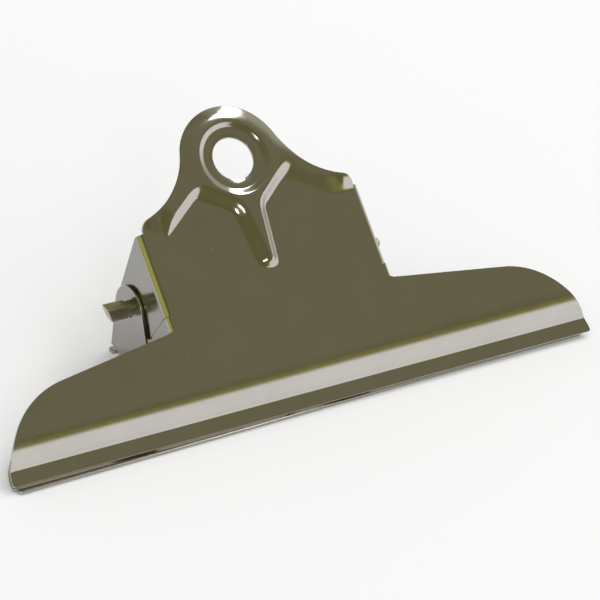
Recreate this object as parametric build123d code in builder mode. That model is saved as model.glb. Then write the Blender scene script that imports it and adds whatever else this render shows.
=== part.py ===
from build123d import *
import math
import os

os.makedirs("parts", exist_ok=True)

# Bulldog clip of two plated steel stampings, a pin and a torsion spring. Millimetres.
# X runs along the jaw, +Y points to the thumb end, +Z is up. The origin lies on the underside
# of the base, straight below the pin.

# Sheet steel and folds
sheet = 0.7
bend_inside = 0.9
jaw_width = 152.0
closed_gap = 0.3

# Front plate, measured from the pin axis along the plate
plate_tilt = 40.0
face_height = 13.6
neck_width = 58.1
ring_reach = 24.0
ring_radius = 13.4
waist_radius = 20.15
waist_angle = 18.4
shoulder_round = 3.0
web_round = 2.6
wing_slope = 8.0
wing_end_radius = 20.8
wing_end_drop = 1.14
lip_reach = 34.15
lip_height = 3.45
lip_flare = 3.0
lip_corner_round = 0.6
step_radius = 12.4
step_turn = 35.5

# Side flanges folded back from the neck
flange_top = 12.4
flange_boss_radius = 6.0
flange_foot = 8.6
flange_foot_depth = 11.2
slit_start = 6.85
slit_width = 0.45
tab_foot = 10.4
tab_depth = 9.5

# Pressed rib, border and dished hang hole
rib_height = 1.3
rib_wall_angle = 45.0
rib_end = 1.7
rib_end_half = 2.3
rib_fork = 12.5
rib_fork_half = 3.95
lobe_apex = 18.2
lobe_apex_half = 11.25
border_foot = 11.2
border_foot_half = 21.0
rib_end_round = 1.8
rib_fork_round = 2.0
lobe_apex_round = 1.2
border_round = 3.0
hole_reach = 24.3
hole_radius = 4.95
dish_radius = 8.6
dish_depth = 0.4

# Base plate and ears
base_lip_overhang = 0.0
base_lip_skew = 2.2
base_width = 152.0
base_end_radius = 18.0
base_slope = 8.0
base_corner_round = 0.8
ear_side_gap = 0.12
ear_radius = 5.9
ear_crown_drop = 0.85
ear_foot_front = 12.0
ear_foot_height = 2.0
fold_rear = 3.6
fold_relief = 0.5
relief_height = 0.8
lug_reach = 0.6
lug_round = 0.5

# Hinge pin, with flattened ends sheared obliquely, and a nib staked outside each ear
pin_radius = 1.75
pin_running_gap = 0.06
pin_seat_gap = 0.02
pin_overhang = 6.5
pin_shear_angle = 24.0
stake_width = 1.0
stake_thickness = 1.1
stake_proud = 0.8
stake_clearance = 0.1
swage_height = 4.1
swage_width = 3.1

# Torsion spring round the pin
wire_radius = 0.9
coil_radius = 4.0
coil_turns = 12
coil_pitch = 2.45
leg_gap = 0.1

# Closed pose: the inner corner of the lip rests just above the base
tilt = math.radians(plate_tilt)
turn = math.radians(step_turn)
flare = math.radians(lip_flare)
crease_u = -(lip_reach - lip_height)
crease_n = -step_radius * (1 - math.cos(turn))
step_u = crease_u + step_radius * math.sin(turn)
lip_n = crease_n + lip_height * math.tan(flare)
lip_back_n = lip_n - sheet / math.cos(flare)
pin_height = (
    sheet + closed_gap + lip_reach * math.sin(tilt) - (face_height + lip_back_n) * math.cos(tilt)
)

# Planes of the front plate: its face, its side view and its folds
up_plate = Vector(0, math.cos(tilt), math.sin(tilt))
out_of_plate = Vector(0, -math.sin(tilt), math.cos(tilt))
pin_centre = Vector(0, 0, pin_height)
face_centre = pin_centre + out_of_plate * face_height
face_plane = Plane(origin=face_centre, x_dir=(1, 0, 0), z_dir=out_of_plate)
side_plane = Plane(origin=face_centre, x_dir=up_plate, z_dir=(1, 0, 0))
fold_plane = Plane(origin=face_centre, x_dir=(1, 0, 0), z_dir=-up_plate)

bend_outside = bend_inside + sheet
jaw_half = jaw_width / 2
neck_half = neck_width / 2
flat_half = neck_half - bend_outside
ring_top = ring_reach + ring_radius
plate_span = ring_top + lip_reach

# Outline of the front plate
waist_angle_rad = math.radians(waist_angle)
waist_x = (ring_radius + waist_radius) * math.cos(waist_angle_rad)
waist_u = ring_reach + (ring_radius + waist_radius) * math.sin(waist_angle_rad)
shoulder_u = waist_u - math.sqrt(waist_radius**2 - (waist_x - flat_half) ** 2)
waist_end = math.degrees(math.atan2(shoulder_u - waist_u, flat_half - waist_x)) + 360
wing_rad = math.radians(wing_slope)
wing_end_rad = math.asin(wing_end_drop / wing_end_radius)
wing_end = math.degrees(wing_end_rad)
wing_centre = (jaw_half - wing_end_radius * math.cos(wing_end_rad), -lip_reach - wing_end_drop)
wing_tip = (
    wing_centre[0] + wing_end_radius * math.sin(wing_rad),
    wing_centre[1] + wing_end_radius * math.cos(wing_rad),
)
wing_root_u = wing_tip[1] + (wing_tip[0] - flat_half) * math.tan(wing_rad)

with BuildSketch(face_plane) as jaw_outline:
    with BuildLine():
        CenterArc((0, ring_reach), ring_radius, 90, waist_angle - 90)
        CenterArc((waist_x, waist_u), waist_radius, 180 + waist_angle, waist_end - 180 - waist_angle)
        Line((flat_half, shoulder_u), (flat_half, wing_root_u))
        Line((flat_half, wing_root_u), wing_tip)
        CenterArc(wing_centre, wing_end_radius, 90 - wing_slope, wing_end + wing_slope - 90)
        Line((jaw_half, -lip_reach), (0, -lip_reach))
        mirror(about=Plane.YZ)
    make_face()
    for side in (-1, 1):
        corner = jaw_outline.vertices().sort_by_distance((side * flat_half, shoulder_u))[0]
        fillet(corner, shoulder_round)
        corner = jaw_outline.vertices().sort_by_distance((side * flat_half, wing_root_u))[0]
        fillet(corner, web_round)
        corner = jaw_outline.vertices().sort_by_distance((side * jaw_half, -lip_reach))[0]
        fillet(corner, lip_corner_round)

# Foot of the pressed rib: a stem that forks into the raised border of the ring and shoulders
rib_clear = 2 * (rib_height + sheet)
with BuildSketch(face_plane) as rib_foot:
    with BuildLine():
        Polyline(
            (0, -rib_end),
            (rib_end_half, -rib_end),
            (rib_fork_half, rib_fork),
            (lobe_apex_half, lobe_apex),
            (border_foot_half, border_foot),
            (neck_half + rib_clear, border_foot),
            (neck_half + rib_clear, ring_top + rib_clear),
            (0, ring_top + rib_clear),
        )
        mirror(about=Plane.YZ)
    make_face()
    for side in (-1, 1):
        corner = rib_foot.vertices().sort_by_distance((side * rib_end_half, -rib_end))[0]
        fillet(corner, rib_end_round)
        corner = rib_foot.vertices().sort_by_distance((side * rib_fork_half, rib_fork))[0]
        fillet(corner, rib_fork_round)
        corner = rib_foot.vertices().sort_by_distance((side * lobe_apex_half, lobe_apex))[0]
        fillet(corner, lobe_apex_round)
        corner = rib_foot.vertices().sort_by_distance((side * border_foot_half, border_foot))[0]
        fillet(corner, border_round)

# Hollow behind the rib, set in so that the pressed wall keeps the sheet's thickness
wall_rad = math.radians(rib_wall_angle)
rib_inset = sheet * (1 - math.sin(wall_rad)) / math.cos(wall_rad)
with BuildSketch(face_plane.offset(-sheet)) as rib_hollow:
    add(rib_foot.sketch_local)
    offset(amount=-rib_inset)

with BuildPart() as rib:
    extrude(rib_foot.sketch, amount=rib_height, taper=rib_wall_angle)
    extrude(jaw_outline.sketch, amount=face_height, both=True, mode=Mode.INTERSECT)

# Neck folded into a channel, then trimmed to the side view of a flange and its lower tab
boss_far = math.hypot(flange_top, face_height - bend_outside)
boss_angle = math.atan2(face_height - bend_outside, flange_top)
rear_angle = boss_angle - math.acos(flange_boss_radius / boss_far)
foot_far = math.hypot(flange_foot, face_height - flange_foot_depth)
foot_angle = math.pi - math.atan2(face_height - flange_foot_depth, flange_foot)
front_angle = foot_angle + math.acos(flange_boss_radius / foot_far)
boss_rear = (
    flange_boss_radius * math.cos(rear_angle),
    flange_boss_radius * math.sin(rear_angle) - face_height,
)
boss_front = (
    flange_boss_radius * math.cos(front_angle),
    flange_boss_radius * math.sin(front_angle) - face_height,
)
slit_lean = (flange_foot - slit_start) / (flange_foot_depth - bend_outside)
slit_end = slit_start + slit_lean * (tab_depth - bend_outside)
flange_depth = face_height + flange_boss_radius + sheet

with BuildPart() as flanges:
    with BuildSketch(fold_plane):
        with BuildLine():
            FilletPolyline(
                (-neck_half, -flange_depth),
                (-neck_half, 0),
                (neck_half, 0),
                (neck_half, -flange_depth),
                radius=bend_outside,
            )
            offset(amount=sheet, side=Side.RIGHT)
        make_face()
    extrude(amount=plate_span, both=True)
    with BuildSketch(side_plane):
        with BuildLine():
            Polyline(
                boss_front,
                (-flange_foot, -flange_foot_depth),
                (-slit_start, -bend_outside),
                (-slit_start, sheet),
                (flange_top, sheet),
                (flange_top, -bend_outside),
                boss_rear,
            )
            ThreePointArc(boss_rear, (0, -face_height - flange_boss_radius), boss_front)
        make_face()
        with BuildLine():
            Polyline(
                (-slit_start - slit_width, sheet),
                (-slit_start - slit_width, -bend_outside),
                (-slit_end - slit_width, -tab_depth),
                (-tab_foot, -tab_depth),
                (-tab_foot, sheet),
                close=True,
            )
        make_face()
    extrude(amount=neck_width, both=True, mode=Mode.INTERSECT)

hole_centre = face_plane.from_local_coords((0, hole_reach, rib_height))
hole_axis = Axis(hole_centre, out_of_plate)
dish_plane = Plane(origin=hole_centre, x_dir=up_plate, z_dir=(1, 0, 0))
dish_wall = dish_depth / math.tan(wall_rad)
dish_seam = dish_radius + sheet

with BuildPart() as front_jaw:
    with BuildSketch(side_plane):
        with BuildLine():
            flat = Line((ring_top + plate_span, 0), (step_u, 0))
            step = JernArc(flat @ 1, flat % 1, step_radius, step_turn)
            lip_far = lip_reach + plate_span
            Line(step @ 1, (-lip_far, crease_n + (lip_far + crease_u) * math.tan(flare)))
            offset(amount=sheet, side=Side.LEFT)
        make_face()
    extrude(amount=jaw_width, both=True)
    extrude(jaw_outline.sketch, amount=face_height, both=True, mode=Mode.INTERSECT)
    add(flanges.part)
    add(rib.part)
    extrude(rib_hollow.sketch, amount=rib_height, taper=rib_wall_angle, mode=Mode.SUBTRACT)
    with BuildSketch(face_plane):
        with Locations((0, hole_reach)):
            Circle(dish_seam - sheet / 4)
    extrude(amount=face_height, both=True, mode=Mode.SUBTRACT)
    with BuildSketch(dish_plane):
        with BuildLine():
            Polyline(
                (dish_seam, 0),
                (dish_radius, 0),
                (dish_radius - dish_wall, -dish_depth),
                (hole_radius, -dish_depth),
                (hole_radius, -dish_depth - sheet),
                (dish_radius - dish_wall + rib_inset, -dish_depth - sheet),
                (dish_radius + rib_inset, -sheet),
                (dish_seam, -sheet),
                close=True,
            )
        make_face()
    revolve(axis=hole_axis)
    with BuildSketch(side_plane):
        with Locations((0, -face_height)):
            Circle(pin_radius + pin_running_gap)
    extrude(amount=neck_width, both=True, mode=Mode.SUBTRACT)

front_jaw.part.label = "front_jaw"
export_step(front_jaw.part, "parts/front_jaw.step")

# Base plate: its front edge lies under the lip, and runs slightly out of line with it
lip_front_y = -lip_reach * math.cos(tilt) - (face_height + lip_n) * math.sin(tilt)
base_front = -lip_front_y + base_lip_overhang
base_half = base_width / 2
front_lean = base_lip_skew / base_width
ear_inside = neck_half + ear_side_gap
ear_outside = ear_inside + sheet
fold_half = ear_outside - bend_outside
base_rad = math.radians(base_slope)
base_blank = base_front + base_lip_skew
base_centre = (base_half - base_end_radius, -base_blank)
base_tip = (
    base_centre[0] + base_end_radius * math.sin(base_rad),
    base_centre[1] + base_end_radius * math.cos(base_rad),
)
base_root_y = base_tip[1] + (base_tip[0] - fold_half) * math.tan(base_rad)
lug_front = fold_rear + fold_relief
lug_half = ear_outside + lug_reach

with BuildSketch(Plane.XY) as base_outline:
    with BuildLine():
        Polyline(
            (0, ear_radius),
            (lug_half, ear_radius),
            (lug_half, lug_front),
            (fold_half, lug_front),
            (fold_half, base_root_y),
            base_tip,
        )
        CenterArc(base_centre, base_end_radius, 90 - base_slope, base_slope - 90)
        Line((base_half, -base_blank), (0, -base_blank))
        mirror(about=Plane.YZ)
    make_face()
    with BuildLine():
        Polyline(
            (-base_width, -base_front - front_lean * base_width),
            (base_width, -base_front + front_lean * base_width),
            (base_width, -2 * base_blank),
            (-base_width, -2 * base_blank),
            close=True,
        )
    make_face(mode=Mode.SUBTRACT)
    for side in (-1, 1):
        corner = base_outline.vertices().sort_by_distance((side * lug_half, ear_radius))[0]
        fillet(corner, lug_round)
        front_y = -base_front + side * front_lean * base_half
        corner = base_outline.vertices().sort_by_distance((side * base_half, front_y))[0]
        fillet(corner, base_corner_round)

# Ears folded up from the base, with a relief notch at the rear of each fold
ear_height = pin_height - ear_crown_drop
ear_top = ear_height + ear_radius + sheet
ear_far = math.hypot(ear_foot_front, ear_height - ear_foot_height)
ear_angle = math.pi + math.atan2(ear_height - ear_foot_height, ear_foot_front)
ear_tangent = ear_angle - math.acos(ear_radius / ear_far)
ear_front = (
    ear_radius * math.cos(ear_tangent),
    ear_height + ear_radius * math.sin(ear_tangent),
)

with BuildPart() as ears:
    with BuildSketch(Plane.XZ):
        with BuildLine():
            FilletPolyline(
                (-ear_outside, ear_top),
                (-ear_outside, 0),
                (ear_outside, 0),
                (ear_outside, ear_top),
                radius=bend_outside,
            )
            offset(amount=sheet, side=Side.LEFT)
        make_face()
    extrude(amount=base_blank, both=True)
    with BuildSketch(Plane.YZ):
        with BuildLine():
            Polyline(
                ear_front,
                (-ear_foot_front, ear_foot_height),
                (-ear_foot_front, -sheet),
                (fold_rear, -sheet),
                (fold_rear, sheet + relief_height),
                (ear_radius, sheet + relief_height),
                (ear_radius, ear_height),
            )
            ThreePointArc((ear_radius, ear_height), (0, ear_height + ear_radius), ear_front)
        make_face()
    extrude(amount=base_half, both=True, mode=Mode.INTERSECT)

with BuildPart() as base_jaw:
    extrude(base_outline.sketch, amount=sheet)
    add(ears.part)
    with BuildSketch(Plane.YZ):
        with Locations((0, pin_height)):
            Circle(pin_radius + pin_seat_gap)
    extrude(amount=base_half, both=True, mode=Mode.SUBTRACT)

base_jaw.part.label = "base_jaw"
export_step(base_jaw.part, "parts/base_jaw.step")

# Hinge pin: each end is flattened upright beyond its nib, and sheared leaning back underneath
pin_half = ear_outside + pin_overhang
swage_start = ear_outside + stake_clearance + stake_width
shear_rad = math.radians(pin_shear_angle)

with BuildPart() as hinge_pin:
    with BuildSketch(Plane.YZ):
        with Locations((0, pin_height)):
            Circle(pin_radius)
    extrude(amount=swage_start, both=True)
    for side in (-1, 1):
        with BuildSketch(Plane.YZ.offset(side * swage_start)):
            with Locations((0, pin_height)):
                Ellipse(swage_width / 2, swage_height / 2)
        extrude(amount=side * pin_overhang)
        stake_x = side * (swage_start - stake_width / 2)
        with Locations((stake_x, 0, pin_height - (pin_radius + stake_proud) / 2)):
            Box(stake_width, stake_thickness, pin_radius + stake_proud)
        shear_normal = (side * math.cos(shear_rad), 0, -math.sin(shear_rad))
        shear_origin = (side * pin_half, 0, pin_height + swage_height / 2)
        split(bisect_by=Plane(origin=shear_origin, z_dir=shear_normal), keep=Keep.BOTTOM)

hinge_pin.part.label = "hinge_pin"
export_step(hinge_pin.part, "parts/hinge_pin.step")

# Torsion spring: one leg stands on the base, the other presses on the back of the front plate
coil_angle = 2 * math.pi * coil_turns + tilt
coil_start = -coil_pitch * coil_angle / (4 * math.pi)


def coil_point(angle):
    return Vector(
        coil_start + coil_pitch * angle / (2 * math.pi),
        coil_radius * math.cos(angle),
        pin_height + coil_radius * math.sin(angle),
    )


def coil_tangent(angle):
    return Vector(
        coil_pitch / (2 * math.pi), -coil_radius * math.sin(angle), coil_radius * math.cos(angle)
    ).normalized()


coil_angles = [math.pi / 2 * k for k in range(4 * coil_turns + 1)] + [coil_angle]
coil_points = [coil_point(angle) for angle in coil_angles]
coil_tangents = [coil_tangent(angle) for angle in coil_angles]
coil_tangents[0] = Vector(0, 0, 1)
coil_tangents[-1] = out_of_plate
base_leg = Vector(coil_points[0].X, coil_points[0].Y, sheet + leg_gap)
plate_leg_length = face_height - sheet - leg_gap
plate_leg = coil_points[-1] + out_of_plate * plate_leg_length

with BuildPart() as torsion_spring:
    with BuildLine() as spring_path:
        Line(base_leg, coil_points[0])
        for k in range(len(coil_points) - 1):
            chord = coil_points[k + 1] - coil_points[k]
            lean = coil_tangents[k] + coil_tangents[k + 1]
            spread = lean.dot(lean) - 4
            along = chord.dot(lean)
            reach = (along - math.sqrt(along**2 - spread * chord.dot(chord))) / spread
            near = coil_points[k] + coil_tangents[k] * reach
            far = coil_points[k + 1] - coil_tangents[k + 1] * reach
            middle = (near + far) / 2
            TangentArc(coil_points[k], middle, tangent=coil_tangents[k])
            TangentArc(middle, coil_points[k + 1], tangent=(far - near).normalized())
        Line(coil_points[-1], plate_leg)
    with BuildSketch(Plane(origin=base_leg, z_dir=(0, 0, 1))):
        Circle(wire_radius)
    sweep(path=spring_path.line)

torsion_spring.part.label = "torsion_spring"
export_step(torsion_spring.part, "parts/torsion_spring.step")

# Least gap of the coil to itself, on points a half turn or more apart
samples_per_turn = 48
samples = [
    coil_point(2 * math.pi * k / samples_per_turn)
    for k in range(int(coil_angle / (2 * math.pi) * samples_per_turn) + 1)
]
self_gap = min(
    (samples[b] - samples[a]).length - 2 * wire_radius
    for a in range(len(samples))
    for b in range(a + samples_per_turn // 2, min(len(samples), a + 2 * samples_per_turn))
)
print(f"torsion spring: least gap to itself {self_gap:.3f} mm")
print(f"pin axis {pin_height:.3f} mm above the underside of the base")
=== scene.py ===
import bpy
import math
import numpy as np
from mathutils import Matrix, Vector
from mathutils.geometry import delaunay_2d_cdt


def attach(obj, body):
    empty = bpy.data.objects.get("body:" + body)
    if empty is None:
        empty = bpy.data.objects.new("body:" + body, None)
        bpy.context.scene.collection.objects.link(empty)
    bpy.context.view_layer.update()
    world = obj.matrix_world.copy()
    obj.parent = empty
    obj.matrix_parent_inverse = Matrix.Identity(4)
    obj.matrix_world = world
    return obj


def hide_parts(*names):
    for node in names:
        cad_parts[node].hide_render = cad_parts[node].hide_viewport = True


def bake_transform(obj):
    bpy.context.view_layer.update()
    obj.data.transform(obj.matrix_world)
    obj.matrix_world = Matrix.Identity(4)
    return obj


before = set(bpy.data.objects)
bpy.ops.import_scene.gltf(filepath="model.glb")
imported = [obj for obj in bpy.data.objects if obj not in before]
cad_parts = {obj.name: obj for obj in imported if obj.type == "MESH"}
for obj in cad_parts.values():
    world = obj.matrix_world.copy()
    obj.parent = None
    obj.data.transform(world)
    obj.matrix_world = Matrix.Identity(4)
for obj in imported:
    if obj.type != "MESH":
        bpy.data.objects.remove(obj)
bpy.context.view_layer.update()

# Sizes of the clip in millimetres: the solids' own, but for trim that is finer or softer here
SHEET, BEND_OUTSIDE = 0.7, 1.6
PIN_HEIGHT, FACE_HEIGHT = 14.6972, 13.6
PLATE_TILT = math.radians(40.0)
MM_PER_M = 1000

# Outline of the front plate
JAW_HALF, NECK_HALF = 75.997, 29.05
FLAT_HALF = NECK_HALF - BEND_OUTSIDE
RING_REACH, RING_RADIUS = 24.0, 13.19
WAIST_RADIUS, WAIST_ANGLE = 20.15, math.radians(18.4)
SHOULDER_ROUND, WEB_ROUND, LIP_ROUND = 3.0, 2.6, 0.6
WING_SLOPE, WING_END_RADIUS, WING_END_DROP = math.radians(8.0), 20.8, 1.14
LIP_CORNER_TURN = 0.03

# Step along the jaw, crease and lip
LIP_REACH, LIP_HEIGHT, LIP_FLARE = 34.15, 3.45, math.radians(3.0)
STEP_RADIUS, STEP_TURN, STEP_MOST = 12.4, math.radians(35.5), 0.9
CREASE_ROUND, CREASE_ZONE = 0.25, 2.0

# Pressed rib, dish round the hole and rolled rim of the ring
RIB_HEIGHT, RIB_CREST = 1.3, 0.3
HOLE_REACH, HOLE_RADIUS = 24.3, 4.95
DISH_RADIUS, DISH_DEPTH, DISH_WALL, DISH_SOFT = 8.6, 0.6, 1.2, 0.8
FUNNEL_RADIUS, FUNNEL_BEND = 6.9, 0.113
ROLL_WIDTH, ROLL_DROP, ROLL_PAST = 4.4, 1.17, 0.3

# Side flanges, each with a lower tab beside a slit
FLANGE_TOP, BOSS_RADIUS, FLANGE_FOOT, FLANGE_FOOT_DEPTH = 12.4, 6.0, 8.6, 11.2
SLIT_START, SLIT_WIDTH = 6.85, 0.12
TAB_FOOT, TAB_DEPTH, TAB_BEND, TAB_DROP = 10.4, 9.5, 1.0, 0.012

# Base plate and its ears
BASE_HALF, BASE_END_RADIUS, BASE_SLOPE, BASE_ROUND = 76.0, 18.0, math.radians(8.0), 0.8
BASE_SKEW, BASE_CORNER_TURN = 2.2, 0.1
EAR_GAP, EAR_RADIUS, EAR_DROP, EAR_FOOT_FRONT, EAR_FOOT_HEIGHT = 0.12, 5.9, 0.85, 12.0, 2.0
FOLD_REAR, FOLD_RELIEF, RELIEF_HEIGHT = 3.6, 0.5, 0.8
LUG_REACH, LUG_ROUND = 0.6, 0.5

# Hinge pin and the holes it runs in
PIN_RADIUS, PIN_HOLE, EAR_HOLE = 1.75, 1.81, 1.77
PIN_OVERHANG, PIN_SHEAR, PIN_PLAIN_HALF = 6.5, math.radians(24.0), 29.0
STAKE_WIDTH, STAKE_THICKNESS, STAKE_CLEARANCE, STAKE_ROUND = 1.0, 1.1, 0.1, 0.22
SWAGE_HEIGHT, SWAGE_WIDTH, SWAGE_SQUARE = 4.1, 3.1, 0.45

# Torsion spring
WIRE_RADIUS, WIRE_CHAMFER = 0.9, 0.15
COIL_RADIUS, COIL_TURNS, COIL_PITCH, COIL_STEP = 4.0, 12, 2.45, math.radians(7.5)
LEG_GAP, LOWER_LEG_STOP, UPPER_LEG_START = 0.1, 0.4, 0.5

# Rounding of the sheets' edges: how far it goes, and where it changes
EDGE, FINE_EDGE, LIP_EDGE, FULL_EDGE, BURR_EDGE = 0.2, 0.02, 0.08, 0.33, 0.28
FLANGE_EDGE, EAR_EDGE, BORE_EDGE = 0.15, 0.14, 0.12
LIP_ZONE, FOLD_ZONE, RIM_GROWTH = 1.0, 1.0, (15.0, 22.0)

# Fineness of the meshes
RIM_TURNS = np.radians((0, 30, 60, 90))
RIM_CLEARANCE, RIM_PROBE, SLOPE_PROBE = 0.12, 0.01, 0.03
PIN_SIDES, PIN_PLAIN_RINGS, WIRE_SIDES, LEG_RINGS = 56, 8, 18, 14
SAME_POINT, TINY = 1e-6, 1e-12
SHARP_EDGE = math.radians(40)

# Least share of a face's normal along a way that counts as turned that way
SIDE_TURN = 0.94

UP_PLATE = np.array((0.0, math.cos(PLATE_TILT), math.sin(PLATE_TILT)))
OUT_PLATE = np.array((0.0, -math.sin(PLATE_TILT), math.cos(PLATE_TILT)))
ALONG = np.array((1.0, 0.0, 0.0))
PIN = np.array((0.0, 0.0, PIN_HEIGHT))
CREASE_U = -(LIP_REACH - LIP_HEIGHT)
STEP_U = CREASE_U + STEP_RADIUS * math.sin(STEP_TURN)
CREASE_N = -STEP_RADIUS * (1 - math.cos(STEP_TURN))


# Vectors, outlines and distances
def unit(v):
    return v / np.maximum(np.linalg.norm(v, axis=-1, keepdims=True), TINY)


def arc(centre, radius, start, end, step):
    """Points on an arc, no further apart than about a step."""
    count = max(2, int(abs(end - start) * radius / step) + 1)
    return [
        (centre[0] + radius * math.cos(a), centre[1] + radius * math.sin(a))
        for a in np.linspace(start, end, count)
    ]


def run(a, b, step):
    """Points on a straight run, no further apart than about a step."""
    count = max(2, int(math.dist(a, b) / step) + 1)
    return [
        (a[0] + (b[0] - a[0]) * t, a[1] + (b[1] - a[1]) * t) for t in np.linspace(0, 1, count)
    ]


def chain(*parts):
    """One loop of runs and arcs, without the points that two of them share."""
    points = []
    for part in parts:
        for p in part:
            if not points or math.dist(points[-1], p) > SAME_POINT:
                points.append((float(p[0]), float(p[1])))
    if math.dist(points[0], points[-1]) < SAME_POINT:
        points.pop()
    return points


def rounded(before, corner, after, radius):
    """The arc that rounds a corner between two other points."""
    c = np.array(corner, float)
    to_last = unit(np.array(before, float) - c)
    to_next = unit(np.array(after, float) - c)
    half = math.acos(np.clip(to_last @ to_next, -1, 1)) / 2
    centre = c + unit(to_last + to_next) * radius / math.sin(half)
    a, b = c + to_last * radius / math.tan(half), c + to_next * radius / math.tan(half)
    first = math.atan2(*(a - centre)[::-1])
    last = math.atan2(*(b - centre)[::-1])
    last += 2 * math.pi * round((first - last) / (2 * math.pi))
    return arc(centre, radius, first, last, step=0.15)


def wound(loop, hole=False):
    """The loop with the metal on its left."""
    p = np.array(loop)
    q = np.roll(p, -1, 0)
    area = (p[:, 0] * q[:, 1] - p[:, 1] * q[:, 0]).sum()
    return loop if (area > 0) != hole else loop[::-1]


def grid(half, step, rows):
    """Points a step apart on each row, from -half up to half."""
    return [(x, row) for row in rows for x in np.arange(-half, half + step / 4, step)]


def distance(points, loop):
    """Signed distance from points to a closed loop, positive inside."""
    a = np.array(loop)
    b = np.roll(a, -1, axis=0)
    result = np.full(len(points), np.inf)
    inside = np.zeros(len(points), bool)
    for k in range(len(a)):
        ab = b[k] - a[k]
        ap = points - a[k]
        t = np.clip((ap @ ab) / max(ab @ ab, TINY), 0, 1)
        result = np.minimum(result, np.hypot(*(ap - t[:, None] * ab).T))
        if a[k][1] != b[k][1]:
            crosses = (a[k][1] > points[:, 1]) != (b[k][1] > points[:, 1])
            x = a[k][0] + (points[:, 1] - a[k][1]) * ab[0] / ab[1]
            inside ^= crosses & (points[:, 0] < x)
    return np.where(inside, result, -result)


def ramp(d, width, soft):
    """From 0 to 1 across a straight wall at d = 0, with rounded edges."""
    def total(x):
        return np.where(
            x < -width / 2, 0, np.where(x > width / 2, x, (x + width / 2) ** 2 / (2 * width))
        )
    return (total(d + soft / 2) - total(d - soft / 2)) / soft


def smooth(x, low, high):
    """From 0 at low to 1 at high, level at both ends."""
    t = np.clip((x - low) / (high - low), 0, 1)
    return t * t * (3 - 2 * t)


# Meshes
def sheet_shell(loops, edges, extra, place, inner_edge=FULL_EDGE):
    """Closed shell of a sheet piece. The loops are drawn on the unrolled sheet with the metal on
    their left, the first one outside. place gives the outer face's points and normals."""
    flat, links, rims = [], [], []
    for loop, edge in zip(loops, edges):
        p = np.array(loop)
        before, after = unit(p - np.roll(p, 1, 0)), unit(np.roll(p, -1, 0) - p)
        ahead = unit(before + after)
        inward = np.stack((-ahead[:, 1], ahead[:, 0]), 1)
        e = np.broadcast_to(np.asarray(edge, float), (len(p),))
        first = len(flat)
        flat += [tuple(q) for q in p + inward * e[:, None]]
        links += [(first + k, first + (k + 1) % len(p)) for k in range(len(p))]
        rims.append((first, len(p), inward, e))
    inner = [flat[first:first + n] for first, n, _, _ in rims]
    extra = np.array(extra)
    keep = distance(extra, inner[0]) > RIM_CLEARANCE
    for hole in inner[1:]:
        keep &= distance(extra, hole) < -RIM_CLEARANCE
    flat += [tuple(p) for p in extra[keep]]
    found, _, triangles, origins, _, _ = delaunay_2d_cdt(
        [Vector(p) for p in flat], links, [], 0, SAME_POINT
    )
    where = {source: k for k, sources in enumerate(origins) for source in sources}
    found = np.array([tuple(p) for p in found])
    triangles = np.array([tuple(t) for t in triangles])
    middle = found[triangles].mean(1)
    good = distance(middle, inner[0]) > 0
    for hole in inner[1:]:
        good &= distance(middle, hole) < 0
    triangles = triangles[good]
    a, b, c = (found[triangles[:, k]] for k in range(3))
    area = (b[:, 0] - a[:, 0]) * (c[:, 1] - a[:, 1]) - (b[:, 1] - a[:, 1]) * (c[:, 0] - a[:, 0])
    triangles[area < 0] = triangles[area < 0][:, ::-1]
    points, normals = place(found)
    count = len(found)
    verts = [points, points - SHEET * normals]
    norms = [normals, -normals]
    faces = [tuple(t) for t in triangles]
    faces += [tuple(t[::-1] + count) for t in triangles]
    total = 2 * count
    for first, n, inward, e in rims:
        index = np.array([where[first + k] for k in range(n)])
        rim, normal = points[index], normals[index]
        q = found[index]
        outer_side = place(q - RIM_PROBE * inward)[0] - place(q + RIM_PROBE * inward)[0]
        out = unit(outer_side - (outer_side * normal).sum(1, keepdims=True) * normal)
        e = np.minimum(e, SHEET / 2)[:, None]
        f = np.minimum(e, inner_edge)
        for t in RIM_TURNS[1:]:
            verts.append(rim + e * math.sin(t) * out - e * (1 - math.cos(t)) * normal)
            norms.append(math.sin(t) * out + math.cos(t) * normal)
        for t in RIM_TURNS[:-1]:
            depth = SHEET - f + f * math.sin(t)
            verts.append(rim + (e - f + f * math.cos(t)) * out - depth * normal)
            norms.append(math.cos(t) * out - math.sin(t) * normal)
        ring_count = 2 * (len(RIM_TURNS) - 1)
        rings = [total + k * n + np.arange(n) for k in range(ring_count)]
        total += ring_count * n
        rings = [index] + rings + [index + count]
        for low, high in zip(rings, rings[1:]):
            for k in range(n):
                m = (k + 1) % n
                faces.append((low[m], low[k], high[k], high[m]))
    return np.concatenate(verts), np.concatenate(norms), faces


def mirrored(shell):
    """A sheet shell's mirror image on the other side of the clip."""
    verts, norms, faces = shell
    flip = np.array((-1.0, 1.0, 1.0))
    return verts * flip, norms * flip, [f[::-1] for f in faces]


def lathe(rings):
    """Closed shell through rings of points, all with the same count, capped at both ends."""
    rings = [np.asarray(r, float) for r in rings]
    n = len(rings[0])
    verts = np.concatenate(rings)
    faces = []
    for k in range(len(rings) - 1):
        for j in range(n):
            m = (j + 1) % n
            faces.append((k * n + j, k * n + m, (k + 1) * n + m, (k + 1) * n + j))
    faces.append(tuple(range(n))[::-1])
    faces.append(tuple((len(rings) - 1) * n + j for j in range(n)))
    return verts, faces


def joined(shells):
    """Points and faces of several shells, as one list each."""
    faces, total = [], 0
    for verts, shell_faces in shells:
        faces += [tuple(int(k) + total for k in face) for face in shell_faces]
        total += len(verts)
    return np.concatenate([verts for verts, _ in shells]), faces


def linked(name, data):
    """A new object in the scene."""
    made = bpy.data.objects.new(name, data)
    bpy.context.scene.collection.objects.link(made)
    return made


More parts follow.
